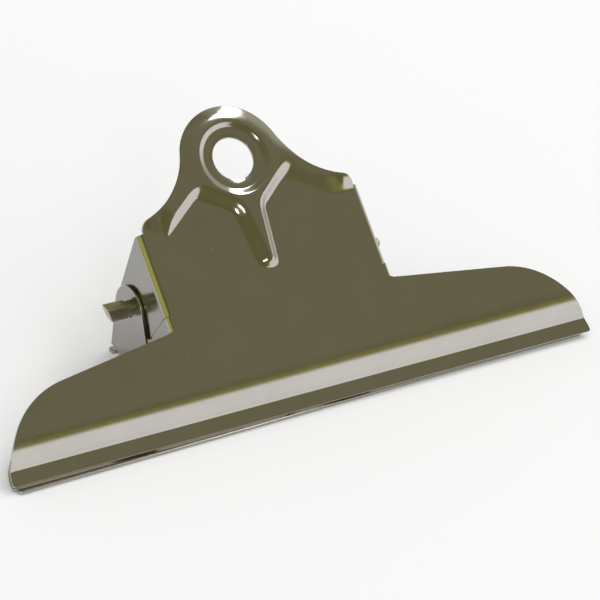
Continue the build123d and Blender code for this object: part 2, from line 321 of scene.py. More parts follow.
def sheet_object(name, shells, ways):
    """One object from sheet shells. Faces turned along the ways, 0 for x and 1 for y, take the
    second material, a darker nickel that paints shade on them."""
    verts, faces = joined([(v, f) for v, _, f in shells])
    norms = np.concatenate([n for _, n, _ in shells])
    turned = np.array([norms[list(face)].mean(0) for face in faces])
    slots = (np.abs(turned[:, ways]).max(1) > SIDE_TURN).astype(int)
    mesh = bpy.data.meshes.new(name)
    mesh.from_pydata((verts / MM_PER_M).tolist(), [], faces)
    mesh.polygons.foreach_set("material_index", slots)
    mesh.validate()
    mesh.shade_smooth()
    mesh.normals_split_custom_set_from_vertices(unit(norms).tolist())
    return linked(name, mesh)


def solid_object(name, shells):
    """One object from closed shells, smooth but for its sharp edges."""
    verts, faces = joined(shells)
    mesh = bpy.data.meshes.new(name)
    mesh.from_pydata((verts / MM_PER_M).tolist(), [], faces)
    mesh.validate()
    mesh.shade_smooth()
    mesh.set_sharp_from_angle(angle=SHARP_EDGE)
    return linked(name, mesh)


# Outline of the front plate, on the plate's own plane
waist = np.array((
    (RING_RADIUS + WAIST_RADIUS) * math.cos(WAIST_ANGLE),
    RING_REACH + (RING_RADIUS + WAIST_RADIUS) * math.sin(WAIST_ANGLE),
))
shoulder = np.array((
    FLAT_HALF - SHOULDER_ROUND,
    waist[1] - math.sqrt(
        (WAIST_RADIUS + SHOULDER_ROUND) ** 2 - (waist[0] - FLAT_HALF + SHOULDER_ROUND) ** 2
    ),
))
shoulder_turn = math.atan2(waist[1] - shoulder[1], waist[0] - shoulder[0])
wing_end = math.asin(WING_END_DROP / WING_END_RADIUS)
wing_centre = (JAW_HALF - WING_END_RADIUS * math.cos(wing_end), -LIP_REACH - WING_END_DROP)
wing_tip = (
    wing_centre[0] + WING_END_RADIUS * math.sin(WING_SLOPE),
    wing_centre[1] + WING_END_RADIUS * math.cos(WING_SLOPE),
)
wing_root = wing_tip[1] + (wing_tip[0] - FLAT_HALF) * math.tan(WING_SLOPE)
web = (
    FLAT_HALF + WEB_ROUND,
    wing_root - math.tan(WING_SLOPE) * WEB_ROUND + WEB_ROUND / math.cos(WING_SLOPE),
)
web_foot = (web[0] - WEB_ROUND * math.sin(WING_SLOPE), web[1] - WEB_ROUND * math.cos(WING_SLOPE))
corner_u = LIP_ROUND - LIP_REACH
corner_x = wing_centre[0] - LIP_ROUND + math.sqrt(
    WING_END_RADIUS ** 2 - (corner_u - wing_centre[1]) ** 2
)
wing_start = wing_end + LIP_CORNER_TURN
half_outline = chain(
    run((0, -LIP_REACH), (corner_x, -LIP_REACH), step=2.5),
    arc((corner_x, corner_u), LIP_ROUND, -math.pi / 2, 0, step=0.12),
    arc(wing_centre, WING_END_RADIUS, wing_start, math.pi / 2 - WING_SLOPE, step=0.5),
    run(wing_tip, web_foot, step=1.5),
    arc(web, WEB_ROUND, -math.pi / 2 - WING_SLOPE, -math.pi, step=0.2),
    run((FLAT_HALF, web[1]), (FLAT_HALF, shoulder[1]), step=0.8),
    arc(shoulder, SHOULDER_ROUND, 0, shoulder_turn, step=0.3),
    arc(waist, WAIST_RADIUS, math.pi + shoulder_turn, math.pi + WAIST_ANGLE, step=0.4),
    arc((0, RING_REACH), RING_RADIUS, WAIST_ANGLE, math.pi / 2, step=0.4),
)
plate_outline = half_outline + [(-x, u) for x, u in half_outline[-2:0:-1]]

# Corners and foot lines of the pressed relief on the right half. The sunk side is on their right
STEM_CORNER, FORK_CORNER, APEX, ARM_CORNER = (2.3, -1.7), (3.95, 12.5), (11.25, 18.2), (21.0, 11.2)
LOW_FORK_APEX, LOW_ARM_APEX, SHOULDER_END = (12.2, 17.4), (10.3, 17.4), (40.0, 11.2)
STEM_FOOT = (STEM_CORNER, FORK_CORNER)
FORK_FOOT, LOW_FORK_FOOT = (FORK_CORNER, APEX), (FORK_CORNER, LOW_FORK_APEX)
ARM_FOOT, LOW_ARM_FOOT = (APEX, ARM_CORNER), (LOW_ARM_APEX, ARM_CORNER)
SHOULDER_FOOT = (ARM_CORNER, SHOULDER_END)
STEM_END = ((-STEM_CORNER[0], STEM_CORNER[1]), STEM_CORNER)

# Width and softness of the walls on the stem, fork, arm and shoulder lines, on either half
RIGHT_WALLS = ((1.7, 0.7), (1.8, 0.7), (5.0, 2.6), (5.2, 1.2))
LEFT_WALLS = ((2.7, 2.0), (3.0, 1.8), (1.8, 0.7), (8.0, 2.0))
END_WALL = (1.6, 0.9)
WALL_JOIN = 0.36

# Where the shoulder walls set in and grow steeper, and the fall of the left border's end
RIGHT_SHOULDER, LEFT_SHOULDER = (0.0, 1.0), (18.5, 23.0)
STEEP_SHOULDER, STEEP_REACH = 1.6, (23.0, 25.5)
BORDER_END, BORDER_FALL, BORDER_DROP, BORDER_TOP = 25.6, (2.0, 1.2), 0.7, (13.0, 16.0)

# Where the crest leaves the ring, and how the rolled rim sets in and deepens up the ring
CREST_FADE, CREST_TOP = (9.4, 14.0), (20.0, 26.0)
ROLL_START, ROLL_LEAST = (11.8, 14.5), 0.08
ROLL_GAIN, ROLL_RISE = 0.17, (14.0, 19.0)
RING_GAIN, RING_RISE = 0.75, (20.0, 31.0)
PRESSED_LOW, PRESSED_HALF = -6.0, 32.0


def sunk(p, line, wall):
    """From 0 on the raised side of a pressed wall to 1 at its foot line and beyond."""
    start, end = np.array(line)
    along = unit(end - start)
    return ramp((p - start) @ (along[1], -along[0]) + wall[0] / 2, *wall)


def lobe(p, lines, walls, shoulder_reach):
    """The sunk field on the right of the stem."""
    fork_foot, arm_foot = lines
    stem, fork, arm, (width, soft) = walls
    width = width - STEEP_SHOULDER * smooth(p[:, 0], *STEEP_REACH)
    a = sunk(p, arm_foot, arm)
    b = sunk(p, SHOULDER_FOOT, (width, soft)) * smooth(p[:, 0], *shoulder_reach)
    under = (a + b + np.sqrt((a - b) ** 2 + WALL_JOIN * a * b * (1 - a) * (1 - b))) / 2
    return sunk(p, STEM_FOOT, stem) * sunk(p, fork_foot, fork) * under


def relief(p):
    """Height of the raised border, ring and stem, between the two sunk fields."""
    raised = 1 - lobe(p, (FORK_FOOT, LOW_ARM_FOOT), RIGHT_WALLS, RIGHT_SHOULDER)
    raised *= 1 - lobe(p * (-1, 1), (LOW_FORK_FOOT, ARM_FOOT), LEFT_WALLS, LEFT_SHOULDER)
    raised *= 1 - sunk(p, STEM_END, END_WALL)
    end = ramp(-p[:, 0] - BORDER_END, *BORDER_FALL) * (1 - smooth(p[:, 1], *BORDER_TOP))
    off_ring = smooth(np.hypot(p[:, 0], p[:, 1] - HOLE_REACH), *CREST_FADE)
    crest = RIB_CREST * (1 - off_ring * (1 - smooth(p[:, 1], *CREST_TOP)))
    return raised * (1 - BORDER_DROP * end) * (RIB_HEIGHT + crest)


def dished(p):
    """Depth of the dish and its funnel round the hole."""
    radius = np.hypot(p[:, 0], p[:, 1] - HOLE_REACH)
    dish = 1 - ramp(radius - DISH_RADIUS + DISH_WALL / 2, DISH_WALL, DISH_SOFT)
    return DISH_DEPTH * dish + FUNNEL_BEND / 2 * np.clip(FUNNEL_RADIUS - radius, 0, None) ** 2


def rolled(p):
    """Drop of the rim, rolled down along the outline from the shoulders to the ring."""
    u = p[:, 1]
    width = np.clip(ROLL_WIDTH - distance(p, plate_outline), 0, ROLL_WIDTH + ROLL_PAST)
    bend = (ROLL_WIDTH ** 2 + ROLL_DROP ** 2) / (2 * ROLL_DROP)
    share = ROLL_LEAST + ROLL_GAIN * smooth(u, *ROLL_RISE) + RING_GAIN * smooth(u, *RING_RISE)
    return (bend - np.sqrt(bend ** 2 - width ** 2)) * share * smooth(u, *ROLL_START)


def plate_height(p):
    """Height of the pressed front face over the plate's plane."""
    x, u = p[:, 0], p[:, 1]
    fall = np.clip(STEP_U - u, 0, STEP_RADIUS * STEP_MOST)
    bent = -(STEP_RADIUS - np.sqrt(STEP_RADIUS ** 2 - fall ** 2))
    lip = CREASE_N + (CREASE_U - u) * math.tan(LIP_FLARE)
    lip = np.where(u < STEP_U - CREASE_ZONE, lip, -np.inf)
    blend = np.clip(CREASE_ROUND - np.abs(bent - lip), 0, None) / CREASE_ROUND
    height = np.maximum(bent, lip) + blend ** 2 * CREASE_ROUND / 4
    pressed = np.nonzero((u > PRESSED_LOW) & (np.abs(x) < PRESSED_HALF))[0]
    if len(pressed):
        q = p[pressed]
        height[pressed] += relief(q) - dished(q) - rolled(q)
    return height


def plate_point(x, u, n):
    """Points from places along the jaw, up the plate and out of its plane."""
    return (
        PIN + np.outer(x, ALONG) + np.outer(u, UP_PLATE) + np.outer(FACE_HEIGHT + n, OUT_PLATE)
    )


def place_plate(p):
    """Points and normals of the plate's pressed front face."""
    d = SLOPE_PROBE
    rise_x = (plate_height(p + (d, 0)) - plate_height(p - (d, 0))) / (2 * d)
    rise_u = (plate_height(p + (0, d)) - plate_height(p - (0, d))) / (2 * d)
    normal = unit(OUT_PLATE - rise_x[:, None] * ALONG - rise_u[:, None] * UP_PLATE)
    return plate_point(p[:, 0], p[:, 1], plate_height(p)), normal


# Rows of mesh points on the front plate: close on the pressed field and the crease, wide elsewhere
PRESSED_ROWS = np.arange(-4.8, 38.0, 0.4)
FLAT_ROWS = np.arange(-22.0, -5.0, 3.0)
STEP_ROWS = np.arange(-24.4, -30.2, -0.4)
CREASE_ROWS = np.arange(-30.25, -31.2, -0.07)
LIP_ROWS = np.arange(-31.4, -34.3, -0.7)
plate_rows = grid(half=29.6, step=0.4, rows=PRESSED_ROWS)
plate_rows += grid(half=74.0, step=4.0, rows=FLAT_ROWS)
plate_rows += grid(half=75.5, step=2.0, rows=np.concatenate((STEP_ROWS, CREASE_ROWS, LIP_ROWS)))


def plate_edge(x, u):
    """Rounding of the front plate's edge: fine at the folds, and growing towards the ring."""
    if abs(abs(x) - FLAT_HALF) < SAME_POINT and u < FLANGE_TOP:
        return FINE_EDGE
    if u < -LIP_REACH + LIP_ZONE:
        return LIP_EDGE
    return FINE_EDGE + (FULL_EDGE - FINE_EDGE) * float(smooth(u, *RIM_GROWTH))


hole_loop = arc((0, HOLE_REACH), HOLE_RADIUS, 0, -2 * math.pi, step=0.3)[:-1]
plate_edges = [plate_edge(x, u) for x, u in plate_outline]
shells = [sheet_shell([plate_outline, hole_loop], [plate_edges, EDGE], plate_rows, place_plate)]

# Side flanges and their lower tabs, unrolled round the fold
FOLD_RUN = BEND_OUTSIDE * math.pi / 2
FIRST_FOLD_ROW = 0.2
FLANGE_ROWS = np.linspace(FIRST_FOLD_ROW, FOLD_RUN, 9)
FLANGE_PLACES = np.arange(-10.2, 12.7, 0.8)


def on_fold(side, bend):
    """Places a flange or a tab. A tab's tighter bend starts further out, and lies just under the
    plate where the two overlap."""
    level = BEND_OUTSIDE - bend
    drop = TAB_DROP if level else 0.0

    def place(p):
        u, a = p[:, 0], p[:, 1] - level
        t = np.clip(a / bend, 0, math.pi / 2)
        x = FLAT_HALF + level + np.minimum(a, 0) + bend * np.sin(t)
        n = -drop - bend * (1 - np.cos(t)) - np.clip(a - bend * math.pi / 2, 0, None)
        normal = np.outer(np.cos(t), OUT_PLATE) + np.outer(side * np.sin(t), ALONG)
        return plate_point(side * x, u, n), normal
    return place


def unrolled(depth, bend=BEND_OUTSIDE):
    """Place on the unrolled sheet of a distance from the face that the fold starts on."""
    return BEND_OUTSIDE - bend + depth - bend + bend * math.pi / 2


boss_far = math.hypot(FLANGE_TOP, FACE_HEIGHT - BEND_OUTSIDE)
rear_turn = math.atan2(FACE_HEIGHT - BEND_OUTSIDE, FLANGE_TOP) - math.acos(BOSS_RADIUS / boss_far)
foot_far = math.hypot(FLANGE_FOOT, FACE_HEIGHT - FLANGE_FOOT_DEPTH)
front_turn = (
    math.pi - math.atan2(FACE_HEIGHT - FLANGE_FOOT_DEPTH, FLANGE_FOOT)
    + math.acos(BOSS_RADIUS / foot_far)
)
boss = [
    (u, unrolled(FACE_HEIGHT) - v)
    for u, v in arc((0, 0), BOSS_RADIUS, rear_turn, front_turn - 2 * math.pi, step=0.4)
]
flange_loop = chain(
    run((-SLIT_START, 0), (FLANGE_TOP, 0), step=1.5),
    run((FLANGE_TOP, 0), (FLANGE_TOP, FOLD_RUN), step=0.3),
    boss,
    run((-FLANGE_FOOT, unrolled(FLANGE_FOOT_DEPTH)), (-SLIT_START, FOLD_RUN), step=1.5),
    run((-SLIT_START, FOLD_RUN), (-SLIT_START, 0), step=0.3),
)
pin_loop = arc((0, unrolled(FACE_HEIGHT)), PIN_HOLE, 0, -2 * math.pi, step=0.3)[:-1]
slit_lean = (FLANGE_FOOT - SLIT_START) / (FLANGE_FOOT_DEPTH - BEND_OUTSIDE)
slit_end = SLIT_START + slit_lean * (TAB_DEPTH - BEND_OUTSIDE)
tab_run = unrolled(TAB_BEND, TAB_BEND)
tab_end = unrolled(TAB_DEPTH, TAB_BEND)
tab_loop = chain(
    run((-TAB_FOOT, 0), (-SLIT_START - SLIT_WIDTH, 0), step=0.8),
    run((-SLIT_START - SLIT_WIDTH, 0), (-SLIT_START - SLIT_WIDTH, tab_run), step=0.2),
    run((-SLIT_START - SLIT_WIDTH, tab_run), (-slit_end - SLIT_WIDTH, tab_end), step=1.5),
    run((-slit_end - SLIT_WIDTH, tab_end), (-TAB_FOOT, tab_end), step=0.8),
    run((-TAB_FOOT, tab_end), (-TAB_FOOT, tab_run), step=1.5),
    run((-TAB_FOOT, tab_run), (-TAB_FOOT, 0), step=0.2),
)
flange_rows = [(u, a) for a in FLANGE_ROWS for u in FLANGE_PLACES]
flange_edges = [FINE_EDGE if a < FOLD_ZONE else FLANGE_EDGE for u, a in flange_loop]
left = [
    sheet_shell(
        [flange_loop, pin_loop], [flange_edges, FLANGE_EDGE], flange_rows, on_fold(-1, BEND_OUTSIDE)
    ),
    sheet_shell([tab_loop], [FINE_EDGE], flange_rows, on_fold(-1, TAB_BEND)),
]
shells += left + [mirrored(s) for s in left]
# Faces turned along x, the flanges and tabs, take the darker nickel with painted shade
front = sheet_object("front_jaw_plate", shells, [0])
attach(front, "front")
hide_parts("front_jaw")

# Base plate: flat, with a front edge that runs slightly out of line, and two ears folded up
BASE_ROWS = np.arange(-32.5, 6, 2.5)
EAR_ROWS = np.linspace(FIRST_FOLD_ROW, FOLD_RUN, 8)
EAR_PLACES = np.arange(-11.6, 3.5, 0.8)
lip_n = CREASE_N + LIP_HEIGHT * math.tan(LIP_FLARE)
base_front = LIP_REACH * math.cos(PLATE_TILT) + (FACE_HEIGHT + lip_n) * math.sin(PLATE_TILT)
base_blank = base_front + BASE_SKEW
front_lean = BASE_SKEW / (2 * BASE_HALF)
ear_outside = NECK_HALF + EAR_GAP + SHEET
fold_half = ear_outside - BEND_OUTSIDE
lug_half = ear_outside + LUG_REACH
lug_front = FOLD_REAR + FOLD_RELIEF
base_centre = (BASE_HALF - BASE_END_RADIUS, -base_blank)
base_tip = (
    base_centre[0] + BASE_END_RADIUS * math.sin(BASE_SLOPE),
    base_centre[1] + BASE_END_RADIUS * math.cos(BASE_SLOPE),
)
base_root = base_tip[1] + (base_tip[0] - fold_half) * math.tan(BASE_SLOPE)


def base_side(side):
    """Outline of one half of the base, from the rear middle to the front corner."""
    front_y = -base_front + side * front_lean * BASE_HALF
    low = math.asin((front_y + base_blank) / BASE_END_RADIUS)
    end_x = base_centre[0] + BASE_END_RADIUS * math.cos(low)
    front_middle = (0, front_y - side * front_lean * end_x)
    lug_corner = (lug_half - LUG_ROUND, EAR_RADIUS - LUG_ROUND)
    end_turn = low + BASE_CORNER_TURN
    points = chain(
        run((0, EAR_RADIUS), (lug_corner[0], EAR_RADIUS), step=2.0),
        arc(lug_corner, LUG_ROUND, math.pi / 2, 0, step=0.1),
        run((lug_half, lug_corner[1]), (lug_half, lug_front), step=0.5),
        run((lug_half, lug_front), (fold_half, lug_front), step=0.5),
        run((fold_half, lug_front), (fold_half, base_root), step=0.5),
        run((fold_half, base_root), base_tip, step=1.5),
        arc(base_centre, BASE_END_RADIUS, math.pi / 2 - BASE_SLOPE, end_turn, step=0.5),
        rounded(base_tip, (end_x, front_y), front_middle, BASE_ROUND),
    )
    return [(side * x, y) for x, y in points]


def base_edge(x, y):
    """Rounding of the base's edge: fine at the folds, and burred along the front."""
    if abs(abs(x) - fold_half) < SAME_POINT and -EAR_FOOT_FRONT < y < FOLD_REAR:
        return FINE_EDGE
    return BURR_EDGE if y < -base_front + BASE_SKEW else EDGE


def place_base(p):
    """Points and normals of the base's underside."""
    points = np.stack((p[:, 1], p[:, 0], np.zeros(len(p))), 1)
    return points, np.tile((0.0, 0.0, -1.0), (len(p), 1))


base_outline = chain(base_side(1), base_side(-1)[::-1])
base_outline = wound([(y, x) for x, y in base_outline])
base_edges = [base_edge(x, y) for y, x in base_outline]
base_rows = [(y, x) for x, y in grid(half=74.0, step=4.0, rows=BASE_ROWS)]
base_shells = [
    sheet_shell([base_outline], [base_edges], base_rows, place_base, inner_edge=LIP_EDGE)
]


def place_ear(p):
    """Points and normals of the left ear's outer face, folded up from the base."""
    a, y = p[:, 0], p[:, 1]
    t = np.clip(a / BEND_OUTSIDE, 0, math.pi / 2)
    x = -fold_half - BEND_OUTSIDE * np.sin(t)
    z = BEND_OUTSIDE * (1 - np.cos(t)) + np.clip(a - FOLD_RUN, 0, None)
    return np.stack((x, y, z), 1), np.stack((-np.sin(t), 0 * t, -np.cos(t)), 1)


ear_height = PIN_HEIGHT - EAR_DROP
ear_far = math.hypot(EAR_FOOT_FRONT, ear_height - EAR_FOOT_HEIGHT)
ear_turn = (
    math.pi + math.atan2(ear_height - EAR_FOOT_HEIGHT, EAR_FOOT_FRONT)
    - math.acos(EAR_RADIUS / ear_far)
)
ear_crown = [
    (unrolled(ear_height) + v, y) for y, v in arc((0, 0), EAR_RADIUS, 0, ear_turn, step=0.35)
]
ear_relief = unrolled(SHEET + RELIEF_HEIGHT)
ear_foot = unrolled(EAR_FOOT_HEIGHT)
ear_loop = wound(chain(
    run((0, -EAR_FOOT_FRONT), (0, FOLD_REAR), step=0.8),
    run((0, FOLD_REAR), (ear_relief, FOLD_REAR), step=0.25),
    run((ear_relief, FOLD_REAR), (ear_relief, EAR_RADIUS), step=0.6),
    run((ear_relief, EAR_RADIUS), ear_crown[0], step=1.2),
    ear_crown,
    run(ear_crown[-1], (ear_foot, -EAR_FOOT_FRONT), step=1.2),
    run((ear_foot, -EAR_FOOT_FRONT), (0, -EAR_FOOT_FRONT), step=0.25),
))
ear_hole = wound(arc((unrolled(PIN_HEIGHT), 0), EAR_HOLE, 0, 2 * math.pi, step=0.3)[:-1], hole=True)
ear_edges = [FINE_EDGE if a < SAME_POINT else EAR_EDGE for a, y in ear_loop]
ear_rows = [(a, y) for a in EAR_ROWS for y in EAR_PLACES]
ear = sheet_shell([ear_loop, ear_hole], [ear_edges, BORE_EDGE], ear_rows, place_ear)
base_shells += [ear, mirrored(ear)]
# Faces turned along x or y, the ears and the cut edges, take the darker nickel with painted shade
base = sheet_object("base_jaw_plate", base_shells, [0, 1])
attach(base, "base")
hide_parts("base_jaw")

# Hinge pin: flattened ends with oblique sheared faces, and a nib staked under each, by the ear
pin_half = ear_outside + PIN_OVERHANG
swage_start = ear_outside + STAKE_CLEARANCE + STAKE_WIDTH
stake_x = ear_outside + STAKE_CLEARANCE + STAKE_WIDTH / 2
pin_turns = np.linspace(0, 2 * math.pi, PIN_SIDES, endpoint=False)

# Rings at the sheared face: distance in from the end, and inset
SHEAR_RINGS = ((0.0, 1.2), (0.0, 0.2), (0.05, 0.06), (0.2, 0.0))
# Rings where the swage runs out: distance in from its start, share of the swage, and lean
RUN_OUT_RINGS = ((-1.2, 1.0, 0.3), (-0.5, 0.92, 0), (-0.2, 0.6, 0), (0.1, 0.15, 0), (0.3, 0, 0))
# Rings of a nib: depth below the pin's axis, and share of its full width
NIB_RINGS = ((0.9, 1.0), (1.75, 1.0), (2.3, 0.86), (2.5, 0.62), (2.55, 0.3))
NIB_CORNERS, CORNER_POINTS = ((1, 1), (-1, 1), (-1, -1), (1, -1)), 4


def pin_ring(x, inset=0.0, swaged=0.0, lean=0.0):
    """A ring of the pin: round, or flattened upright, and square to the axis or leaning."""
    wide = PIN_RADIUS + swaged * (SWAGE_WIDTH / 2 - PIN_RADIUS) - inset
    high = PIN_RADIUS + swaged * (SWAGE_HEIGHT / 2 - PIN_RADIUS) - inset
    square = 1 - SWAGE_SQUARE * swaged
    c, s = np.cos(pin_turns), np.sin(pin_turns)
    y, z = wide * np.sign(c) * np.abs(c) ** square, high * np.sign(s) * np.abs(s) ** square
    sheared = x - lean * math.tan(PIN_SHEAR) * (z - SWAGE_HEIGHT / 2)
    return np.stack((sheared, y, z + PIN_HEIGHT), 1)


def nib(x):
    """A flat nib pinched out of the pin's underside, rounded at its tip."""
    rings = []
    for depth, share in NIB_RINGS:
        half_x, half_y = STAKE_WIDTH / 2 * share, STAKE_THICKNESS / 2 * share
        r = STAKE_ROUND * share
        corners = []
        for corner, (cx, cy) in enumerate(NIB_CORNERS):
            for bend in np.linspace(0, math.pi / 2, CORNER_POINTS):
                a = corner * math.pi / 2 + bend
                corners.append((
                    x + cx * (half_x - r) + r * math.cos(a),
                    cy * (half_y - r) + r * math.sin(a),
                    PIN_HEIGHT - depth,
                ))
        rings.append(corners[::-1])
    return lathe(rings)


pin_rings = [
    pin_ring(past - pin_half, inset, swaged=1.0, lean=1.0) for past, inset in SHEAR_RINGS
]
pin_rings += [
    pin_ring(past - swage_start, swaged=swaged, lean=lean) for past, swaged, lean in RUN_OUT_RINGS
]
pin_rings += [pin_ring(x) for x in np.linspace(-PIN_PLAIN_HALF, 0, PIN_PLAIN_RINGS)]
pin_rings += [r * (-1, 1, 1) for r in pin_rings[-2::-1]]
pin = solid_object("hinge_pin_staked", [lathe(pin_rings), nib(-stake_x), nib(stake_x)])
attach(pin, "base")
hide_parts("hinge_pin")

# Torsion spring: a leg on the base, the coil round the pin, a leg behind the front plate
coil_angle = 2 * math.pi * COIL_TURNS + PLATE_TILT
coil_start = -COIL_PITCH * coil_angle / (4 * math.pi)
path = [
    (coil_start, COIL_RADIUS, z)
    for z in np.linspace(SHEET + LEG_GAP, PIN_HEIGHT - LOWER_LEG_STOP, LEG_RINGS)
]
for t in np.linspace(0, coil_angle, int(coil_angle / COIL_STEP)):
    path.append((
        coil_start + COIL_PITCH * t / (2 * math.pi),
        COIL_RADIUS * math.cos(t),
        PIN_HEIGHT + COIL_RADIUS * math.sin(t),
    ))
leg_end = np.array(path[-1])
for reach in np.linspace(UPPER_LEG_START, FACE_HEIGHT - SHEET - LEG_GAP, LEG_RINGS):
    path.append(tuple(leg_end + reach * OUT_PLATE))
path = np.array(path)
ahead = unit(np.gradient(path, axis=0))
side_way = ALONG
wire_turns = np.linspace(0, 2 * math.pi, WIRE_SIDES, endpoint=False)
wire_rings = []
for k, (p, d) in enumerate(zip(path, ahead)):
    side_way = unit(side_way - (side_way @ d) * d)
    other = np.cross(d, side_way)
    ring = np.outer(np.cos(wire_turns), side_way) + np.outer(np.sin(wire_turns), other)
    if k == 0:
        wire_rings.append(p + ring * (WIRE_RADIUS - WIRE_CHAMFER))
        wire_rings.append(p + WIRE_CHAMFER * d + ring * WIRE_RADIUS)
    elif k == len(path) - 1:
        wire_rings.append(p - WIRE_CHAMFER * d + ring * WIRE_RADIUS)
        wire_rings.append(p + ring * (WIRE_RADIUS - WIRE_CHAMFER))
    else:
        wire_rings.append(p + ring * WIRE_RADIUS)
spring = solid_object("torsion_spring_wire", [lathe(wire_rings)])
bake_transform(spring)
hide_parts("torsion_spring")


# Materials
def node(tree, kind, **values):
    made = tree.nodes.new(kind)
    for key, value in values.items():
        setattr(made, key, value)
    return made


def noise(tree, place, scale, detail, stretch=None, turn=(0, 0, 0)):
    if stretch:
        mapping = node(tree, "ShaderNodeMapping")
        mapping.inputs["Rotation"].default_value = turn
        mapping.inputs["Scale"].default_value = stretch
        tree.links.new(place, mapping.inputs["Vector"])
        place = mapping.outputs["Vector"]
    made = node(tree, "ShaderNodeTexNoise")
    made.inputs["Scale"].default_value = scale
    made.inputs["Detail"].default_value = detail
    tree.links.new(place, made.inputs["Vector"])
    return made.outputs["Fac"]


def colours(tree, factor, *stops):
    """Colours by a factor, from stops of a position and a colour."""
    made = node(tree, "ShaderNodeValToRGB")
    elements = made.color_ramp.elements
    while len(elements) < len(stops):
        elements.new(0.5)
    for element, (position, colour) in zip(elements, stops):
        element.position = position
        element.color = (*colour, 1)
    tree.links.new(factor, made.inputs["Fac"])
    return made.outputs["Color"]


def levels(tree, factor, *stops):
    """Grey levels by a factor, from stops of a position and a level."""
    return colours(tree, factor, *((position, (level,) * 3) for position, level in stops))


def maths(tree, operation, a, b):
    made = node(tree, "ShaderNodeMath", operation=operation)
    for socket, value in zip(made.inputs, (a, b)):
        if isinstance(value, (int, float)):
            socket.default_value = value
        else:
            tree.links.new(value, socket)
    return made.outputs[0]


def mixed(tree, below, above, share):
    """A colour with another one laid over a share of it."""
    made = node(tree, "ShaderNodeMix", data_type="RGBA")
    tree.links.new(share, made.inputs["Factor"])
    tree.links.new(below, made.inputs["A"])
    if isinstance(above, tuple):
        made.inputs["B"].default_value = (*above, 1)
    else:
        tree.links.new(above, made.inputs["B"])
    return made.outputs["Result"]


def surface(name):
    """A new material, with its tree, its shader and the piece's own coordinates."""
    material = bpy.data.materials.new(name)
    material.use_nodes = True
    tree = material.node_tree
    place = node(tree, "ShaderNodeTexCoord").outputs["Object"]
    return material, tree, tree.nodes["Principled BSDF"], place


def bumped(tree, shader, height, strength, depth):
    bump = node(tree, "ShaderNodeBump")
    bump.inputs["Strength"].default_value = strength
    bump.inputs["Distance"].default_value = depth
    tree.links.new(height, bump.inputs["Height"])
    tree.links.new(bump.outputs["Normal"], shader.inputs["Normal"])


SPECK_SCALE, SPECK_SIZE, SPECK_COLOUR = 520.0, 0.05, (0.66, 0.65, 0.62)
SPECK_WEAR, HAIR_WEAR, CROSS_WEAR = 0.45, 0.05, 0.04
RIPPLE_DEPTH, DRAWING_DEPTH = 0.0002, 0.00005


def plated(name, pale, deep, roughness, ripple):
    """Bright plate on rolled steel: faint mottling, hairline scratches, specks, a slight ripple."""
    material, tree, shader, place = surface(name)
    shader.inputs["Metallic"].default_value = 1.0
    mottle = noise(tree, place, scale=85.0, detail=4.0)
    colour = colours(tree, mottle, (0.32, deep), (0.68, pale))
    cells = node(tree, "ShaderNodeTexVoronoi")
    cells.inputs["Scale"].default_value = SPECK_SCALE
    tree.links.new(place, cells.inputs["Vector"])
    patches = noise(tree, place, scale=55.0, detail=2.0)
    specks = maths(tree, "LESS_THAN", cells.outputs["Distance"], SPECK_SIZE)
    specks = maths(tree, "MULTIPLY", specks, levels(tree, patches, (0.60, 0.0), (0.66, 1.0)))
    tree.links.new(mixed(tree, colour, SPECK_COLOUR, specks), shader.inputs["Base Color"])
    lines = noise(
        tree, place, scale=1.0, detail=1.0, stretch=(60, 2600, 2600), turn=(0.1, 0.2, 0.35)
    )
    hair = levels(tree, lines, (0.69, 0.0), (0.74, 1.0))
    crossing = noise(
        tree, place, scale=1.0, detail=1.0, stretch=(2400, 90, 2400), turn=(0.3, 0.1, -0.5)
    )
    hair_cross = levels(tree, crossing, (0.70, 0.0), (0.75, 1.0))
    fine = noise(tree, place, scale=420.0, detail=3.0)
    bright, dull = roughness
    rough = levels(tree, fine, (0.3, bright), (0.7, dull))
    for marks, wear in ((hair, HAIR_WEAR), (hair_cross, CROSS_WEAR), (specks, SPECK_WEAR)):
        rough = maths(tree, "ADD", rough, maths(tree, "MULTIPLY", marks, wear))
    tree.links.new(rough, shader.inputs["Roughness"])
    bumped(tree, shader, noise(tree, place, scale=70.0, detail=2.0), ripple, RIPPLE_DEPTH)
    return material


def drawn_wire(name):
    """Spring steel wire with drawing lines and a duller, darker surface."""
    material, tree, shader, place = surface(name)
    shader.inputs["Metallic"].default_value = 1.0
    mottle = noise(tree, place, scale=300.0, detail=4.0)
    colour = colours(tree, mottle, (0.3, (0.24, 0.23, 0.21)), (0.7, (0.38, 0.37, 0.34)))
    tree.links.new(colour, shader.inputs["Base Color"])
    lines = noise(tree, place, scale=1.0, detail=2.0, stretch=(5200, 900, 900))
    tree.links.new(levels(tree, lines, (0.3, 0.26), (0.7, 0.42)), shader.inputs["Roughness"])
    bumped(tree, shader, lines, strength=0.2, depth=DRAWING_DEPTH)
    return material


NICKEL_PALE, NICKEL_DEEP = (0.555, 0.535, 0.495), (0.520, 0.500, 0.460)
# Darker copy of the nickel for faces turned sideways. On the flanges, tabs and ears it is painted
# shade for the darker floor they reflect; on the base's cut front edge it is partly duller cut
# steel and partly painted shade.
SHADED_SIDE_PALE, SHADED_SIDE_DEEP = (0.345, 0.335, 0.315), (0.320, 0.310, 0.290)
PIN_PALE, PIN_DEEP = (0.66, 0.64, 0.50), (0.52, 0.50, 0.39)
front.data.materials.append(
    plated("nickel_front", NICKEL_PALE, NICKEL_DEEP, roughness=(0.09, 0.14), ripple=0.03)
)
base.data.materials.append(
    plated("nickel_base", NICKEL_PALE, NICKEL_DEEP, roughness=(0.10, 0.16), ripple=0.03)
)
